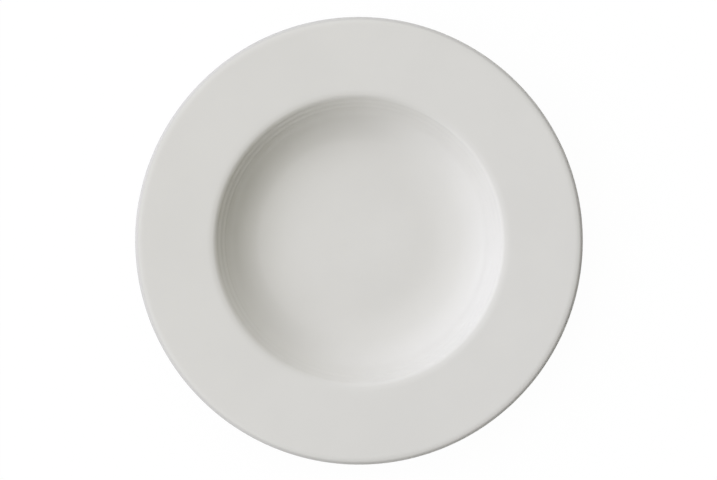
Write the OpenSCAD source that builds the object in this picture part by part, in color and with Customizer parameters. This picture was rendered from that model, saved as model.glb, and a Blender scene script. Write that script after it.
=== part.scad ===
// Rimmed soup plate: a pressed porcelain body under a glossy white glaze.
// The body is fired in one piece. The glaze is a second material in two skins. One runs from the
// centre of the well over the rim and down the back to the foot ring, the other fills the recess
// inside the foot ring. Between them the foot ring's standing face is wiped bare.
// Origin at the centre of the standing face, +Z up, millimetres.

/* [Plate] */
// Diameter over the glaze
plate_d = 240; // [225:1:260]
// Height over the glaze, from the table to the top of the rim
plate_h = 30; // [29:0.5:33]

/* [Rim] */
// Diameter of the well's mouth, where rim and wall would meet in a sharp corner
mouth_d = 155; // [148:0.5:160]
// How much higher the rim is at its outer edge than at the mouth
rim_rise = 1; // [0.2:0.1:3]
// Thickness of the body at the rim's outer edge
edge_t = 4.6; // [4.2:0.1:6]
// Thickness of the body where the rim joins the wall
root_t = 4.8; // [3.8:0.1:6]
// Radius of the upper side of the outer edge
edge_round = 2; // [1.4:0.1:2.4]
// Radius of the arc that eases the rim into that edge
edge_ease_round = 12; // [8:1:16]
// Fall at which the ease gives way to the edge, in degrees
edge_ease_slope = 10; // [6:1:14]
// Radius of the lip at the top of the wall
lip_round = 3.5; // [2.6:0.1:4.4]
// Radius of the arc that eases the lip into the rim
lip_ease_round = 16; // [10:1:22]
// Slope at which the lip gives way to the ease, in degrees
lip_ease_slope = 12; // [8:1:16]
// Radius in the angle under the rim, where it meets the back of the wall
armpit_round = 7; // [4:0.5:10]

/* [Well] */
// Slope of the wall's straight part, in degrees
wall_slope = 54; // [52:0.5:57]
// Radius of the sweep from floor to wall
sweep_round = 26; // [24:0.5:28]
// Radius of the arc that eases the floor into the sweep
sweep_ease_round = 72; // [62:1:82]
// Slope at which the ease gives way to the sweep, in degrees
sweep_ease_slope = 8.5; // [7:0.5:10]
// Thickness of the body in the wall
wall_t = 4.5; // [3.5:0.1:5.5]
// Thickness of the body in the floor
floor_t = 5.2; // [4.6:0.1:5.8]
// Distance from the mouth in to the edge of the floor's level middle
crown_inset = 56; // [52:0.5:60]
// Fall of the floor outside that level middle, in degrees
crown_slope = 3.2; // [2:0.1:4]
// Radius between the level middle and the fall
crown_round = 300; // [160:10:360]

/* [Foot ring] */
// Distance from the mouth in to the outer edge of the standing face, before it is rounded
foot_inset = 19.5; // [16:0.5:23]
// Width of the standing face, before its corners are rounded
foot_w = 4.6; // [3.5:0.1:6]
// Height of the recess inside the ring, at the plate's centre
recess_h = 5; // [4.4:0.1:5.6]
// Fall of the recess's ceiling outside its level middle, in degrees
recess_slope = 1; // [0.2:0.1:2]
// Lean of the ring's two sides, in degrees
foot_draft = 10; // [4:1:16]
// Radius at the root of the ring, outside and inside
foot_fillet = 1.8; // [1:0.1:2.2]
// Radius between the level middle and the falling part of the recess's ceiling
recess_round = 300; // [160:10:360]
// Radius of the ring's two lower corners
foot_round = 0.7; // [0.4:0.1:0.9]

/* [Glaze] */
// Thickness of the glaze
glaze_t = 0.3; // [0.2:0.05:0.4]
// Height of the bare band at the bottom of the foot ring
bare_h = 1; // [0.9:0.1:1.2]

/* [Hidden] */
$fn = 180;

// Largest gap between a drawn arc and the true one
arc_gap = 0.012;
// Points closer than this are one point
same_point = 0.001;

porcelain_colour = [0.88, 0.86, 0.81];
glaze_colour = [0.85, 0.84, 0.82];

body_r = plate_d / 2 - glaze_t;
mouth_r = mouth_d / 2;
foot_r = mouth_r - foot_inset;
crown_r = mouth_r - crown_inset;

function unit(v) = v / norm(v);
function heading(angle) = [cos(angle), sin(angle)];
function left_of(v) = [-v.y, v.x];
function last(list) = list[len(list) - 1];
function point_of(corner) = [corner[0], corner[1]];

// Where the line through p along u crosses the line through q along v
function meet(p, u, q, v) = p + u * cross(q - p, v) / cross(u, v);

// Turn from one direction to the next, positive to the left
function turn(u, v) = atan2(cross(u, v), u * v);

// Centre of the arc that rounds the corner b between a and c
function round_centre(a, b, c, radius) =
    let (u = unit(b - a), angle = turn(u, unit(c - b)))
    b - u * radius * tan(abs(angle) / 2) + left_of(u) * radius * sign(angle);

// A radius as large as asked, or as the room on one side of its corner allows
function fitted(radius, room, angle) = min(radius, room / tan(abs(angle) / 2));

// Two corners in place of the one at x between directions u and v, with a run along w between
// them that is just long enough for both radii, so that one arc eases into the next
function eased(x, u, w, v, round_in, round_out) =
    let (
        turn_in = abs(turn(u, w)),
        turn_out = abs(turn(w, v)),
        run = round_in * tan(turn_in / 2) + round_out * tan(turn_out / 2),
        share = run / sin(turn_in + turn_out)
    )
    [
        concat(x - u * share * sin(turn_out), round_in),
        concat(x + v * share * sin(turn_in), round_out)
    ];

// Points along the arc that rounds the corner b, as many as keep its chords within arc_gap of it
function round_points(a, b, c, radius) =
    let (
        u = unit(b - a),
        angle = turn(u, unit(c - b)),
        centre = round_centre(a, b, c, radius),
        spoke = left_of(u) * radius * sign(angle),
        steps = max(2, ceil(abs(angle) / (2 * acos(1 - min(arc_gap / radius, 1)))))
    )
    [for (i = [0:steps])
        let (part = heading(angle * i / steps))
        centre - [spoke.x * part.x - spoke.y * part.y, spoke.x * part.y + spoke.y * part.x]];

// Corner i of a path moved out to the left, with its radius changed to suit
function moved_corner(corners, i, out) =
    let (
        p = point_of(corners[i]),
        u = i > 0 ? unit(p - point_of(corners[i - 1])) : undef,
        v = i < len(corners) - 1 ? unit(point_of(corners[i + 1]) - p) : undef
    )
    is_undef(u) ? concat(p + left_of(v) * out, 0)
    : is_undef(v) ? concat(p + left_of(u) * out, 0)
    : concat(p + (left_of(u) + left_of(v)) * out / (1 + u * v), corners[i][2] - out * sign(turn(u, v)));

// An open path through [r, z, radius] corners, moved out by a distance and rounded
function rounded_path(corners, out = 0) =
    let (
        moved = [for (i = [0:len(corners) - 1]) moved_corner(corners, i, out)],
        places = [for (corner = moved) point_of(corner)],
        points = concat(
            [places[0]],
            [for (i = [1:len(moved) - 2])
                each round_points(places[i - 1], places[i], places[i + 1], moved[i][2])],
            [last(places)]
        )
    )
    [for (i = [0:len(points) - 1])
        if (i == 0 || norm(points[i] - points[max(0, i - 1)]) > same_point) points[i]];

// Rim. Its outer corner is higher than its rounded top, which is what plate_h measures. The edge's
// corners are first worked out for a rim that ends in a sharp corner at [0, 0].
down = heading(-90);
rim_slope = atan(rim_rise / (body_r - mouth_r));
rim_run = heading(rim_slope);
edge_shape = eased([0, 0], rim_run, heading(-edge_ease_slope), down, edge_ease_round, edge_round);
ease_place = point_of(edge_shape[0]);
side_place = point_of(edge_shape[1]);
ease_centre = round_centre(ease_place - rim_run, ease_place, side_place, edge_ease_round);
side_centre = round_centre(ease_place, side_place, side_place + down, edge_round);
edge_corner = [body_r, plate_h - glaze_t - edge_ease_round - ease_centre.y];
mouth_corner = edge_corner - [body_r - mouth_r, rim_rise];
under_edge = edge_corner + down * edge_t;
under_root = mouth_corner + down * root_t;
under_run = unit(under_root - under_edge);
under_round = (edge_t + side_centre.y) / tan(turn(down, under_run) / -2);
edge_corners = [for (corner = edge_shape) concat(edge_corner + point_of(corner), corner[2])];

// Well. Its floor falls from the level middle to the line of the wall.
wall_run = heading(wall_slope);
floor_run = heading(-crown_slope);
sweep_run = heading(sweep_ease_slope);
crown_edge = [crown_r, recess_h + floor_t];
floor_corner = meet(crown_edge, floor_run, mouth_corner, wall_run);
sweep_corners = eased(floor_corner, floor_run, sweep_run, wall_run, sweep_ease_round, sweep_round);
lip_corners = eased(mouth_corner, wall_run, heading(lip_ease_slope), rim_run, lip_round, lip_ease_round);
dip_corner = point_of(sweep_corners[0]);
dip_reach = sweep_ease_round * tan((crown_slope + sweep_ease_slope) / 2);
crown_room = min(crown_r, norm(dip_corner - crown_edge) - dip_reach);
crown_fit = fitted(crown_round, crown_room, crown_slope);
sweep_centre = round_centre(dip_corner, point_of(sweep_corners[1]), mouth_corner, sweep_round);

// Back of the well: the same wall and sweep at the body's thickness
back_round = sweep_round + wall_t;
back_wall = mouth_corner - left_of(wall_run) * wall_t;
armpit = meet(under_edge, under_run, back_wall, wall_run);

// Foot ring. Its outer fillet touches the ring's side and the sweep, which ends there.
foot_out = [foot_r, 0];
foot_in = [foot_r - foot_w, 0];
outer_side = heading(90 - foot_draft);
inner_side = heading(90 + foot_draft);
fillet_start = foot_out - left_of(outer_side) * foot_fillet - sweep_centre;
fillet_drop = fillet_start * outer_side;
fillet_rise = -fillet_drop
    - sqrt(pow(fillet_drop, 2) - fillet_start * fillet_start + pow(back_round + foot_fillet, 2));
sweep_end = unit(fillet_start + outer_side * fillet_rise);
root_point = sweep_centre + sweep_end * back_round;
root_run = left_of(sweep_end);
belly = meet(root_point, root_run, back_wall, wall_run);
foot_root = meet(root_point, root_run, foot_out, outer_side);
belly_reach = back_round * tan(abs(turn(wall_run, unit(belly - foot_root))) / 2);
armpit_room = norm(belly - armpit) - belly_reach;
armpit_fit = fitted(armpit_round, armpit_room, turn(under_run, -wall_run));

// Recess inside the foot ring. Its ceiling is level under the floor's level middle, then falls.
ceiling_edge = [crown_r, recess_h];
recess_corner = meet(ceiling_edge, heading(-recess_slope), foot_in, inner_side);
recess_fit = fitted(recess_round, crown_r, recess_slope);

// From the axis over the well, the rim and the back, down to the foot ring's root
outer_corners = concat(
    [[0, crown_edge.y, 0], concat(crown_edge, crown_fit)],
    sweep_corners,
    lip_corners,
    edge_corners,
    [
        concat(under_edge, under_round),
        concat(armpit, armpit_fit),
        concat(belly, back_round),
        concat(foot_root, foot_fillet)
    ]
);

standing_corners = [concat(foot_out, foot_round), concat(foot_in, foot_round)];

// From the foot ring's inner root over the recess to the axis
recess_corners = [
    concat(recess_corner, foot_fillet),
    concat(ceiling_edge, recess_fit),
    [0, recess_h, 0]
];

// The end of a path on one side of the foot ring, at a height above the table
function end_on_side(foot_corner, side, z) = concat(foot_corner + side * z / side.y, 0);

// A skin of glaze over a path. Its outer face stops a glaze thickness higher up the foot ring.
module glaze_skin(path, outer_path) {
    inner_face = rounded_path(path);
    outer_face = rounded_path(outer_path, glaze_t);
    color(glaze_colour)
        rotate_extrude()
            polygon(concat(outer_face, [for (i = [len(inner_face) - 1:-1:0]) inner_face[i]]));
}

module porcelain_body() {
    color(porcelain_colour)
        rotate_extrude()
            polygon(rounded_path(concat(outer_corners, standing_corners, recess_corners)));
}

module glaze_coat() {
    glaze_skin(
        concat(outer_corners, [end_on_side(foot_out, outer_side, bare_h)]),
        concat(outer_corners, [end_on_side(foot_out, outer_side, bare_h + glaze_t)])
    );
}

module base_glaze() {
    glaze_skin(
        concat([end_on_side(foot_in, inner_side, bare_h)], recess_corners),
        concat([end_on_side(foot_in, inner_side, bare_h + glaze_t)], recess_corners)
    );
}

porcelain_body();
glaze_coat();
base_glaze();
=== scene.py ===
"""A rimmed soup plate in white glazed porcelain, photographed straight from above in soft studio light.

The fired body carries two skins of glaze: one over the front, the edge and the back, and one in the
recess inside the foot ring. Between them the foot ring's standing face is wiped bare.
"""
import math

import bpy
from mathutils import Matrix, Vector


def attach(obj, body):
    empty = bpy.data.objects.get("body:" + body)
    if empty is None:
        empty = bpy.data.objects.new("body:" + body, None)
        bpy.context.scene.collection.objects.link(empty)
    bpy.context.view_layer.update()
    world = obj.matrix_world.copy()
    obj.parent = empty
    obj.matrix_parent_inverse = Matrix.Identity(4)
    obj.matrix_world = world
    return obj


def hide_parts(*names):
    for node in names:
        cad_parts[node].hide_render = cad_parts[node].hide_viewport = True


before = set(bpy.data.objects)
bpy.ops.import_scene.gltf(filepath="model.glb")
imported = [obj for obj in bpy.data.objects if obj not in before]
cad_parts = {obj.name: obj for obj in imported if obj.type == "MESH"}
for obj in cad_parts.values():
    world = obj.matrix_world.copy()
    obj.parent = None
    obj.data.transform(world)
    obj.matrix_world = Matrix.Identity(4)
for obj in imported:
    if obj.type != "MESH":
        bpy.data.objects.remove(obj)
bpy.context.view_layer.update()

# A millimetre, in metres
MM = 0.001

# Sizes of the plate, in millimetres and degrees
PLATE_R = 120
PLATE_H = 30
MOUTH_R = 77.5
RIM_RISE = 1  # from the mouth out to the edge
EDGE_T = 4.6  # of the body at its edge
ROOT_T = 4.8  # of the body where the rim joins the wall
EDGE_ROUND = 2  # upper side of the edge
EDGE_EASE_ROUND = 12  # arc that eases the rim into it
EDGE_EASE_SLOPE = 10
LIP_ROUND = 3.5  # top of the wall
LIP_EASE_ROUND = 16  # arc that eases it into the rim
LIP_EASE_SLOPE = 12
ARMPIT_ROUND = 7  # under the rim, against the back of the wall
WALL_SLOPE = 54
SWEEP_ROUND = 26  # from the floor up to the wall
SWEEP_EASE_ROUND = 72  # arc that eases the floor into it
SWEEP_EASE_SLOPE = 8.5
WALL_T = 4.5
FLOOR_T = 5.2
CROWN_INSET = 56  # from the mouth in to the level middle of the floor
CROWN_SLOPE = 3.2
CROWN_ROUND = 300
FOOT_INSET = 19.5  # from the mouth in to the outside of the foot ring
FOOT_W = 4.6
RECESS_H = 5
RECESS_SLOPE = 1
RECESS_ROUND = 300
FOOT_DRAFT = 10  # lean of the foot ring's sides
FOOT_FILLET = 1.8
GLAZE_T = 0.3
BARE_H = 1  # from the standing face up to the glaze

# Longest step of an arc, in degrees: on the skins' faces, on their hidden backs and on their rolled ends
SHOWN_STEP = 2.2
HIDDEN_STEP = 9
ROLL_STEP = 11.25
# Steps round the plate
TURNED_STEPS = 256
# Short run at each end of a straight, and the longest run between two vertices, in millimetres
HOLD = 0.4
LONGEST_RUN = 6
# Places on the section, and vertices of the turned mesh, that are nearer than this are one, in millimetres
SAME_PLACE = 0.001
SAME_VERTEX = 0.002
# An edge that turns by more than this stays sharp, in degrees
SHARP_TURN = 40


# Directions and corners, in the section's plane of radius and height
def heading(angle):
    """Direction at an angle in degrees."""
    return Vector((math.cos(math.radians(angle)), math.sin(math.radians(angle))))


def left_of(v):
    """The direction square to this one, on its left."""
    return Vector((-v.y, v.x))


def turn(u, v):
    """Turn from one direction to the next, in radians and positive to the left."""
    return math.atan2(u.x * v.y - u.y * v.x, u.dot(v))


def meet(p, u, q, v):
    """Where the line through p along u crosses the line through q along v."""
    gap = q - p
    return p + u * (gap.x * v.y - gap.y * v.x) / (u.x * v.y - u.y * v.x)


def round_centre(a, b, c, radius):
    """Centre of the arc that rounds the corner b between a and c."""
    u = (b - a).normalized()
    angle = turn(u, (c - b).normalized())
    return b - u * radius * math.tan(abs(angle) / 2) + left_of(u) * math.copysign(radius, angle)


def eased(x, u, w, v, round_in, round_out):
    """Two corners in place of the one at x, so that one arc eases into the next."""
    turn_in, turn_out = abs(turn(u, w)), abs(turn(w, v))
    run = round_in * math.tan(turn_in / 2) + round_out * math.tan(turn_out / 2)
    share = run / math.sin(turn_in + turn_out)
    return [
        (x - u * share * math.sin(turn_out), round_in),
        (x + v * share * math.sin(turn_in), round_out),
    ]


def moved_out(corners, out):
    """The corners of a path moved to its left, with their radii changed to suit."""
    places = [place for place, _ in corners]
    moved = []
    for i, (place, radius) in enumerate(corners):
        u = (place - places[i - 1]).normalized() if i else None
        v = (places[i + 1] - place).normalized() if i < len(corners) - 1 else None
        if u and v:
            shift = (left_of(u) + left_of(v)) / (1 + u.dot(v))
            moved.append((place + shift * out, radius - math.copysign(out, turn(u, v))))
        else:
            moved.append((place + left_of(u or v) * out, 0))
    return moved


def in_space(place):
    """A place on the section, in metres, on the XZ plane."""
    return Vector((place.x * MM, 0, place.y * MM))


# Drawing a section: one vertex is extruded along the straights and spun round the arcs
def start_section(name, place):
    """A new piece that is a single vertex, left in edit mode."""
    bpy.ops.object.select_all(action="DESELECT")
    bpy.ops.mesh.primitive_plane_add(size=MM)
    piece = bpy.context.object
    piece.name = piece.data.name = name
    bpy.ops.object.mode_set(mode="EDIT")
    bpy.ops.mesh.select_mode(type="VERT")
    bpy.ops.mesh.merge(type="CENTER")
    bpy.ops.transform.translate(value=in_space(place))
    return piece


def draw_straight(start, end):
    """A straight run, with a short hold at both ends so that the shading of the arcs stays out of it."""
    length = (end - start).length
    stops = [length]
    if length > 3 * HOLD:
        cuts = math.ceil((length - 2 * HOLD) / LONGEST_RUN)
        stops = [HOLD + (length - 2 * HOLD) * i / cuts for i in range(cuts + 1)] + [length]
    here = start
    for stop in stops:
        there = start + (end - start) * stop / length
        bpy.ops.mesh.extrude_region_move(TRANSFORM_OT_translate={"value": in_space(there - here)})
        here = there


def draw_arc(centre, angle, step):
    """An arc through an angle in radians, in equal steps of at most step degrees."""
    steps = max(2, math.ceil(math.degrees(abs(angle)) / step))
    bpy.ops.mesh.spin(steps=steps, angle=angle, center=in_space(centre), axis=(0, 1, 0))


def draw_path(corners, step):
    """From the first corner to the last, rounding those between."""
    here = corners[0][0]
    for (before, _), (corner, radius), (after, _) in zip(corners, corners[1:], corners[2:]):
        u = (corner - before).normalized()
        angle = turn(u, (after - corner).normalized())
        arc_start = corner - u * radius * math.tan(abs(angle) / 2)
        if (arc_start - here).length > SAME_PLACE:
            draw_straight(here, arc_start)
        centre = round_centre(before, corner, after, radius)
        draw_arc(centre, angle, step)
        spoke = arc_start - centre
        here = centre + Vector((
            spoke.x * math.cos(angle) - spoke.y * math.sin(angle),
            spoke.x * math.sin(angle) + spoke.y * math.cos(angle),
        ))
    draw_straight(here, corners[-1][0])


def turn_section():
    """The drawn section turned into a body of revolution, its seam and poles closed."""
    bpy.ops.mesh.select_all(action="SELECT")
    bpy.ops.mesh.spin(steps=TURNED_STEPS, angle=math.tau, center=(0, 0, 0), axis=(0, 0, 1))
    bpy.ops.mesh.select_all(action="SELECT")
    bpy.ops.mesh.remove_doubles(threshold=SAME_VERTEX * MM)
    bpy.ops.mesh.normals_make_consistent(inside=False)
    bpy.ops.object.mode_set(mode="OBJECT")
    bpy.ops.object.shade_smooth_by_angle(angle=math.radians(SHARP_TURN))


# Section of the body, from the axis over the well, the rim and the back to the foot ring
body_r = PLATE_R - GLAZE_T
foot_r = MOUTH_R - FOOT_INSET
crown_r = MOUTH_R - CROWN_INSET
down = heading(-90)

# The edge is shaped from a sharp corner at zero, and the corner is then put as high as lets the top of
# the ease, with the glaze on it, reach the plate's height
rim_run = Vector((body_r - MOUTH_R, RIM_RISE)).normalized()
edge_shape = eased(Vector((0, 0)), rim_run, heading(-EDGE_EASE_SLOPE), down, EDGE_EASE_ROUND, EDGE_ROUND)
(ease_place, _), (side_place, _) = edge_shape
ease_centre = round_centre(ease_place - rim_run, ease_place, side_place, EDGE_EASE_ROUND)
edge_corner = Vector((body_r, PLATE_H - GLAZE_T - EDGE_EASE_ROUND - ease_centre.y))
mouth_corner = edge_corner - Vector((body_r - MOUTH_R, RIM_RISE))

# The edge's lower arc starts where its upper one ends
under_edge = edge_corner + down * EDGE_T
under_run = (mouth_corner + down * ROOT_T - under_edge).normalized()
side_centre = round_centre(ease_place, side_place, side_place + down, EDGE_ROUND)
under_round = (EDGE_T + side_centre.y) / math.tan(abs(turn(down, under_run)) / 2)

# The well
wall_run = heading(WALL_SLOPE)
floor_run = heading(-CROWN_SLOPE)
sweep_run = heading(SWEEP_EASE_SLOPE)
crown_edge = Vector((crown_r, RECESS_H + FLOOR_T))
floor_corner = meet(crown_edge, floor_run, mouth_corner, wall_run)
sweep_corners = eased(floor_corner, floor_run, sweep_run, wall_run, SWEEP_EASE_ROUND, SWEEP_ROUND)
lip_corners = eased(mouth_corner, wall_run, heading(LIP_EASE_SLOPE), rim_run, LIP_ROUND, LIP_EASE_ROUND)
sweep_centre = round_centre(sweep_corners[0][0], sweep_corners[1][0], mouth_corner, SWEEP_ROUND)

# The back of the wall and of the sweep lies at the wall's thickness from their face
back_round = SWEEP_ROUND + WALL_T
back_wall = mouth_corner - left_of(wall_run) * WALL_T
armpit = meet(under_edge, under_run, back_wall, wall_run)

# The foot ring, with a fillet outside it that touches the back of the sweep at the root point
foot_out = Vector((foot_r, 0))
foot_in = Vector((foot_r - FOOT_W, 0))
outer_side = heading(90 - FOOT_DRAFT)
inner_side = heading(90 + FOOT_DRAFT)
fillet_start = foot_out - left_of(outer_side) * FOOT_FILLET - sweep_centre
fillet_drop = fillet_start.dot(outer_side)
fillet_rise = -fillet_drop - math.sqrt(
    fillet_drop**2 - fillet_start.length_squared + (back_round + FOOT_FILLET) ** 2
)
sweep_end = (fillet_start + outer_side * fillet_rise).normalized()
root_point = sweep_centre + sweep_end * back_round
belly = meet(root_point, left_of(sweep_end), back_wall, wall_run)
foot_root = meet(root_point, left_of(sweep_end), foot_out, outer_side)

# The recess inside the foot ring
ceiling_edge = Vector((crown_r, RECESS_H))
recess_corner = meet(ceiling_edge, heading(-RECESS_SLOPE), foot_in, inner_side)


def on_side(foot_corner, side):
    """The place on one side of the foot ring where the glaze's rolled end turns in."""
    return foot_corner + side * (BARE_H + GLAZE_T) / side.y


# The body's face under each skin: corners, and the radii that round them
coat_path = [
    (Vector((0, crown_edge.y)), 0),
    (crown_edge, CROWN_ROUND),
    *sweep_corners,
    *lip_corners,
    *[(edge_corner + place, radius) for place, radius in edge_shape],
    (under_edge, under_round),
    (armpit, ARMPIT_ROUND),
    (belly, back_round),
    (foot_root, FOOT_FILLET),
    (on_side(foot_out, outer_side), 0),
]
base_path = [
    (Vector((0, RECESS_H)), 0),
    (ceiling_edge, RECESS_ROUND),
    (recess_corner, FOOT_FILLET),
    (on_side(foot_in, inner_side), 0),
]


def glaze_skin(name, path, out):
    """A skin of glaze: its face, the end that rolls in on the foot ring, and its back on the body."""
    face = moved_out(path, out)
    piece = start_section(name, face[0][0])
    draw_path(face, SHOWN_STEP)
    last, before = path[-1][0], path[-2][0]
    draw_arc(last, -math.copysign(math.pi / 2, out), ROLL_STEP)
    touch = last + (last - before).normalized() * GLAZE_T
    draw_path([(touch, 0)] + path[-2::-1], HIDDEN_STEP)
    turn_section()
    return piece


# Colours, nodes and patterns
def linear(hex_code):
    """An sRGB hex colour as the linear RGBA that the shaders use."""
    channels = [int(hex_code[i:i + 2], 16) / 255 for i in (0, 2, 4)]
    return [c / 12.92 if c <= 0.04045 else ((c + 0.055) / 1.055) ** 2.4 for c in channels] + [1]


def plug(tree, node, inputs):
    """Give a node's inputs, by name or in their order, a value or another node's output."""
    for key, value in inputs.items() if isinstance(inputs, dict) else enumerate(inputs):
        if isinstance(value, bpy.types.NodeSocket):
            tree.links.new(value, node.inputs[key])
        else:
            node.inputs[key].default_value = value


def add_node(tree, kind, inputs=(), **settings):
    """A shader node of this kind, with its settings and its inputs."""
    node = tree.nodes.new("ShaderNode" + kind)
    for name, value in settings.items():
        setattr(node, name, value)
    plug(tree, node, inputs)
    return node


def new_material(name):
    """An empty material, with the Principled shader that its finish is built on."""
    material = bpy.data.materials.new(name)
    material.use_nodes = True
    tree = material.node_tree
    return material, tree, tree.nodes["Principled BSDF"]


def per_mm(wavelength):
    """Scale of a pattern on Object coordinates, which are metres, from a real size in millimetres."""
    return 1 / (wavelength * MM)


def from_axis(tree, place):
    """Distance from the plate's axis, in metres."""
    flat = add_node(tree, "VectorMath", [place, (1, 1, 0)], operation="MULTIPLY")
    return add_node(tree, "VectorMath", [flat.outputs[0]], operation="LENGTH").outputs["Value"]


# Setting of a Map Range node that starts and ends softly
SOFT = {"interpolation_type": "SMOOTHSTEP"}
# Sockets of a Mix node that mixes colours
MIX_A = 6
MIX_B = 7
MIX_RESULT = 2
# Noise lies mostly between these values
NOISE = (0.3, 0.7)

# Glaze where it is clear, clouded, and thin at the edge, where painted shade also darkens it,
# the span of its roughness, and its index of refraction
CLEAR_GLAZE = "EBE9E5"
CLOUDED_GLAZE = "E9E7E3"
THIN_GLAZE_AND_EDGE_SHADE = "DCDAD7"
GLAZE_ROUGHNESS = (0.05, 0.08)
GLAZE_IOR = 1.5
# Its clouds, patches of sheen and waves, the height of the waves, and the distances in from the edge
# between which it runs thin and darkens with painted shade, in millimetres
CLOUD = 38
SHEEN = 14
WAVE = 9
WAVE_H = 0.005
THIN_AND_SHADED_EDGE = (2.4, 1.2)
# Faint rings left by the forming tool on the well's wall: their spacing, the radius of one where the
# wall is gentlest, the radii between which they come and go, and their height, in millimetres
TOOL_RING = 2.1
TOOL_RING_R = 72.9
TOOL_RINGS_COME = (71, 72.4)
TOOL_RINGS_GO = (75.6, 77)
TOOL_RING_H = 0.045


def tool_rings(tree, radius):
    """Height of the forming tool's rings, in metres."""
    from_ring = add_node(tree, "Math", [radius, TOOL_RING_R * MM], operation="SUBTRACT")
    to_phase = -math.tau / (TOOL_RING * MM)
    phase = add_node(tree, "Math", [from_ring.outputs[0], to_phase], operation="MULTIPLY")
    wave = add_node(tree, "Math", [phase.outputs[0]], operation="SINE")
    come = [r * MM for r in TOOL_RINGS_COME]
    go = [r * MM for r in TOOL_RINGS_GO]
    coming = add_node(tree, "MapRange", [radius, *come, 0, 1], **SOFT)
    going = add_node(tree, "MapRange", [radius, *go, TOOL_RING_H * MM, 0], **SOFT)
    height = add_node(tree, "Math", [coming.outputs[0], going.outputs[0]], operation="MULTIPLY")
    return add_node(tree, "Math", [wave.outputs[0], height.outputs[0]], operation="MULTIPLY").outputs[0]


def glazed_porcelain():
    """Feldspar glaze, dipped and fired to gloss on hard porcelain: bright, smooth and faintly wavy.

    It clouds a little where it lies thicker. At the edge, where it runs thin, the duller body shows
    through, and its colour is darkened further there by painted shade.
    """
    material, tree, shader = new_material("glazed_porcelain")
    place = add_node(tree, "TexCoord").outputs["Object"]
    radius = from_axis(tree, place)

    cloud = add_node(tree, "TexNoise", {"Vector": place, "Scale": per_mm(CLOUD), "Detail": 3})
    clouded = add_node(tree, "MapRange", [cloud.outputs["Fac"], *NOISE, 0, 1], **SOFT)
    full_colour = add_node(tree, "Mix", {
        "Factor": clouded.outputs[0], MIX_A: linear(CLEAR_GLAZE), MIX_B: linear(CLOUDED_GLAZE),
    }, data_type="RGBA")
    # Towards the edge the colour darkens: partly thin glaze, partly painted shade on the edge
    edge_shade_span = [(PLATE_R - inset) * MM for inset in THIN_AND_SHADED_EDGE]
    thin_and_shaded = add_node(tree, "MapRange", [radius, *edge_shade_span, 0, 1], **SOFT)
    colour = add_node(tree, "Mix", {
        "Factor": thin_and_shaded.outputs[0], MIX_A: full_colour.outputs[MIX_RESULT], MIX_B: linear(THIN_GLAZE_AND_EDGE_SHADE),
    }, data_type="RGBA")

    sheen = add_node(tree, "TexNoise", {"Vector": place, "Scale": per_mm(SHEEN), "Detail": 4})
    roughness = add_node(tree, "MapRange", [sheen.outputs["Fac"], *NOISE, *GLAZE_ROUGHNESS], **SOFT)

    # The relief is a height in metres, so the bump takes it as it is
    wave = add_node(tree, "TexNoise", {"Vector": place, "Scale": per_mm(WAVE), "Detail": 1})
    relief = [wave.outputs["Fac"], WAVE_H * MM, tool_rings(tree, radius)]
    height = add_node(tree, "Math", relief, operation="MULTIPLY_ADD")
    bump = add_node(tree, "Bump", {"Height": height.outputs[0], "Strength": 1, "Distance": 1})
    plug(tree, shader, {
        "Base Color": colour.outputs[MIX_RESULT],
        "Roughness": roughness.outputs[0],
        "IOR": GLAZE_IOR,
        "Normal": bump.outputs["Normal"],
    })
    return material


# Bare porcelain where it is fresh and worn, and its roughness there
BISQUE = "DED6C6"
WORN_BISQUE = "C4BDB0"
BISQUE_ROUGHNESS = (0.8, 0.6)
# Noise between which it goes from fresh to worn, and how far the wear gets
WEAR_NOISE = (0.5, 0.75)
MOST_WEAR = 0.7
# Its worn patches, grain and ground rings, and the height of the grain, in millimetres
WORN_PATCH = 7
GRAIN = 0.5
GROUND_RING = 0.4
GRAIN_H = 0.05


def bisque():
    """Unglazed fired porcelain, wiped and ground on the foot ring: matt, warm white and fine-grained.

    Sliding on tables has greyed and smoothed it in patches, and the grinding has left fine rings. The
    grain and the rings are drawn coarser than they are, so that they show.
    """
    material, tree, shader = new_material("bisque")
    place = add_node(tree, "TexCoord").outputs["Object"]

    patch = add_node(tree, "TexNoise", {"Vector": place, "Scale": per_mm(WORN_PATCH), "Detail": 3})
    worn = add_node(tree, "MapRange", [patch.outputs["Fac"], *WEAR_NOISE, 0, MOST_WEAR], **SOFT)
    colour = add_node(tree, "Mix", {
        "Factor": worn.outputs[0], MIX_A: linear(BISQUE), MIX_B: linear(WORN_BISQUE),
    }, data_type="RGBA")
    roughness = add_node(tree, "MapRange", [worn.outputs[0], 0, MOST_WEAR, *BISQUE_ROUGHNESS], **SOFT)

    rings = {"W": from_axis(tree, place), "Scale": per_mm(GROUND_RING)}
    ground = add_node(tree, "TexNoise", rings, noise_dimensions="1D")
    grain = add_node(tree, "TexNoise", {"Vector": place, "Scale": per_mm(GRAIN), "Detail": 2})
    height = add_node(tree, "Math", [grain.outputs["Fac"], ground.outputs["Fac"]], operation="ADD")
    relief = {"Height": height.outputs[0], "Strength": 0.5, "Distance": GRAIN_H * MM}
    bump = add_node(tree, "Bump", relief)
    plug(tree, shader, {
        "Base Color": colour.outputs[MIX_RESULT],
        "Roughness": roughness.outputs[0],
        "Normal": bump.outputs["Normal"],
    })
    return material


# The pieces: the skins take the place of their solids, and the body keeps its own
glaze = glazed_porcelain()
coat = glaze_skin("front_and_back_glaze", coat_path, GLAZE_T)
base = glaze_skin("recess_glaze", base_path, -GLAZE_T)
for piece, node in ((coat, "glaze_coat"), (base, "base_glaze")):
    piece.data.materials.append(glaze)
    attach(piece, "root")
    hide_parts(node)

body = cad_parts["porcelain_body"]
body.data.materials.clear()
body.data.materials.append(bisque())

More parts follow.
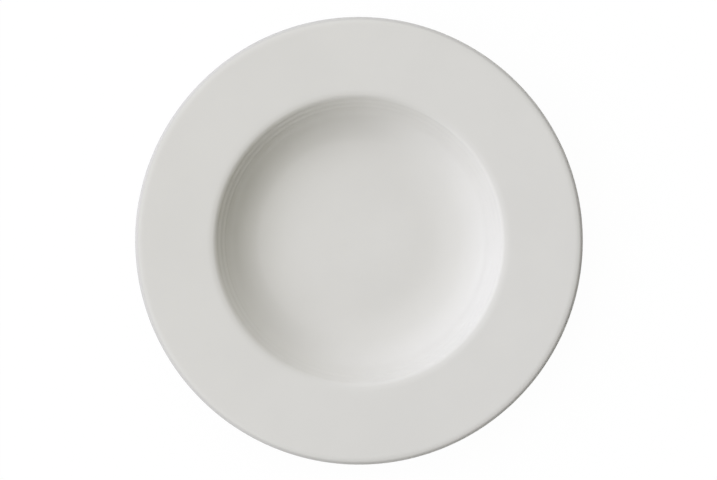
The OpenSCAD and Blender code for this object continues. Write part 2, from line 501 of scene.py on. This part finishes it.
# Camera, straight above as in the photograph
PHOTO_W = 717  # pixels
MM_PER_PIXEL = 0.5348  # at the plate's height
CENTRE_RIGHT_PX = 0.5  # of the plate, from the middle of the picture
CENTRE_DOWN_PX = 0.8
LENS = 100  # millimetres, as is the sensor
SENSOR = 36
camera_rise = LENS * PHOTO_W * MM_PER_PIXEL / SENSOR + PLATE_H
bpy.ops.object.camera_add(
    location=(-CENTRE_RIGHT_PX * MM_PER_PIXEL * MM, CENTRE_DOWN_PX * MM_PER_PIXEL * MM, camera_rise * MM),
    rotation=(0, 0, 0),
)
camera = bpy.context.object
camera.data.lens = LENS
camera.data.sensor_width = SENSOR
bpy.context.scene.camera = camera

# Tent: its radius in metres, its level, and where its light sets in above the table, in degrees
TENT_R = 6
LIGHT_LEVEL = 1.475
SKIRT = (0, 6)
# Daylight comes from this direction round the plate, in degrees, and turns to a warm fill away from it,
# between these cosines of the angle to it
DAYLIGHT = "F4F6FF"
WARM_FILL = "FBF6C7"
DAY_SIDE = 157
DAY_SETS_IN = (-0.35, 0.3)
# Where the scrim fades, in degrees: by direction round the plate, and by height towards the zenith
SCRIM_RIGHT = (18, 97)
SCRIM_FRONT = (-86, -121)
SCRIM_TOP = (58, 90)
SCRIM_SEGMENTS = 96
BLACK_NET = "101010"
# Paper: as it lights the plate, and as it is seen, where its glow is white and its shade is shadowed
PAPER = "6E6E6E"
PAPER_ROUGHNESS = 0.9
PAPER_GLOW = 0.97
PAPER_SHADE = "383838"
WHITE = "FFFFFF"


def seen_directly(tree):
    """1 for a ray that shows the background itself: from the camera, a reflection or through glass."""
    rays = add_node(tree, "LightPath")
    seen = rays.outputs["Is Camera Ray"]
    for name in ("Is Glossy Ray", "Is Transmission Ray"):
        seen = add_node(tree, "Math", [seen, rays.outputs[name]], operation="MAXIMUM").outputs[0]
    return seen


def soft_tent():
    """White tent round the table: cool daylight from one side, turning to a warm fill on the other.

    Its light sets in just above the table. Where the tent itself is seen, it is plain white.
    """
    world = bpy.data.worlds.new("soft_tent")
    world.use_nodes = True
    tree = world.node_tree
    towards = add_node(tree, "TexCoord").outputs["Generated"]
    height = add_node(tree, "SeparateXYZ", [towards]).outputs["Z"]
    skirt = [math.sin(math.radians(angle)) for angle in SKIRT]
    level = add_node(tree, "MapRange", [height, *skirt, 0, LIGHT_LEVEL], **SOFT)
    day_side = (math.cos(math.radians(DAY_SIDE)), math.sin(math.radians(DAY_SIDE)), 0)
    to_day = add_node(tree, "VectorMath", [towards, day_side], operation="DOT_PRODUCT")
    day = add_node(tree, "MapRange", [to_day.outputs["Value"], *DAY_SETS_IN, 0, 1], **SOFT)
    colour = add_node(tree, "Mix", {
        "Factor": day.outputs[0], MIX_A: linear(WARM_FILL), MIX_B: linear(DAYLIGHT),
    }, data_type="RGBA")
    light = add_node(tree, "Background", [colour.outputs[MIX_RESULT], level.outputs[0]])
    white = tree.nodes["Background"]
    plug(tree, white, {"Color": linear(WHITE), "Strength": 1})
    both = add_node(tree, "MixShader", [seen_directly(tree), light.outputs[0], white.outputs[0]])
    plug(tree, tree.nodes["World Output"], {"Surface": both.outputs[0]})
    return world


def white_paper():
    """White paper sweep in flagged light: white where it is seen, with a faint shadow under the plate.

    The light that it throws back on the plate is that of a grey card, and from below it is clear.
    """
    material, tree, shader = new_material("white_paper")
    plug(tree, shader, {"Base Color": linear(PAPER), "Roughness": PAPER_ROUGHNESS})
    shade = add_node(tree, "BsdfDiffuse", {"Color": linear(PAPER_SHADE)})
    glow = add_node(tree, "Emission", {"Color": linear(WHITE), "Strength": PAPER_GLOW})
    white = add_node(tree, "AddShader", [shade.outputs[0], glow.outputs[0]])
    paper = add_node(tree, "MixShader", [seen_directly(tree), shader.outputs[0], white.outputs[0]])
    clear = add_node(tree, "BsdfTransparent")
    below = add_node(tree, "NewGeometry").outputs["Backfacing"]
    both = add_node(tree, "MixShader", [below, paper.outputs[0], clear.outputs[0]])
    plug(tree, tree.nodes["Material Output"], {"Surface": both.outputs[0]})
    return material


def graded_scrim():
    """Black net, denser towards the lower right, that takes the tent's light away without an edge."""
    material, tree, shader = new_material("graded_scrim")
    plug(tree, shader, {"Base Color": linear(BLACK_NET), "Roughness": 1})
    place = add_node(tree, "TexCoord").outputs["Object"]
    axes = add_node(tree, "SeparateXYZ", [place]).outputs
    round_plate = add_node(tree, "Math", [axes["Y"], axes["X"]], operation="ARCTAN2")
    height = add_node(tree, "Math", [axes["Z"], TENT_R], operation="DIVIDE")
    rise = add_node(tree, "Math", [height.outputs[0]], operation="ARCSINE")
    dense = 1
    for angle, fade in ((rise, SCRIM_TOP), (round_plate, SCRIM_RIGHT), (round_plate, SCRIM_FRONT)):
        ends = [math.radians(end) for end in fade]
        fading = add_node(tree, "MapRange", [angle.outputs[0], *ends, 1, 0], **SOFT)
        dense = add_node(tree, "Math", [dense, fading.outputs[0]], operation="MULTIPLY").outputs[0]
    clear = add_node(tree, "BsdfTransparent")
    net = add_node(tree, "MixShader", [dense, clear.outputs[0], shader.outputs[0]])
    plug(tree, tree.nodes["Material Output"], {"Surface": net.outputs[0]})
    return material


bpy.context.scene.world = soft_tent()

bpy.ops.object.select_all(action="DESELECT")
bpy.ops.mesh.primitive_plane_add(size=4 * TENT_R)
floor = bpy.context.object
floor.name = "floor"
floor.data.materials.append(white_paper())

bpy.ops.object.select_all(action="DESELECT")
bpy.ops.mesh.primitive_uv_sphere_add(segments=SCRIM_SEGMENTS, ring_count=SCRIM_SEGMENTS // 2, radius=TENT_R)
scrim = bpy.context.object
scrim.name = "scrim"
bpy.ops.object.mode_set(mode="EDIT")
bpy.ops.mesh.bisect(plane_co=(0, 0, 0), plane_no=(0, 0, 1), clear_inner=True)
bpy.ops.object.mode_set(mode="OBJECT")
scrim.data.materials.append(graded_scrim())
scrim.visible_camera = False

bpy.context.scene.view_settings.view_transform = "Standard"
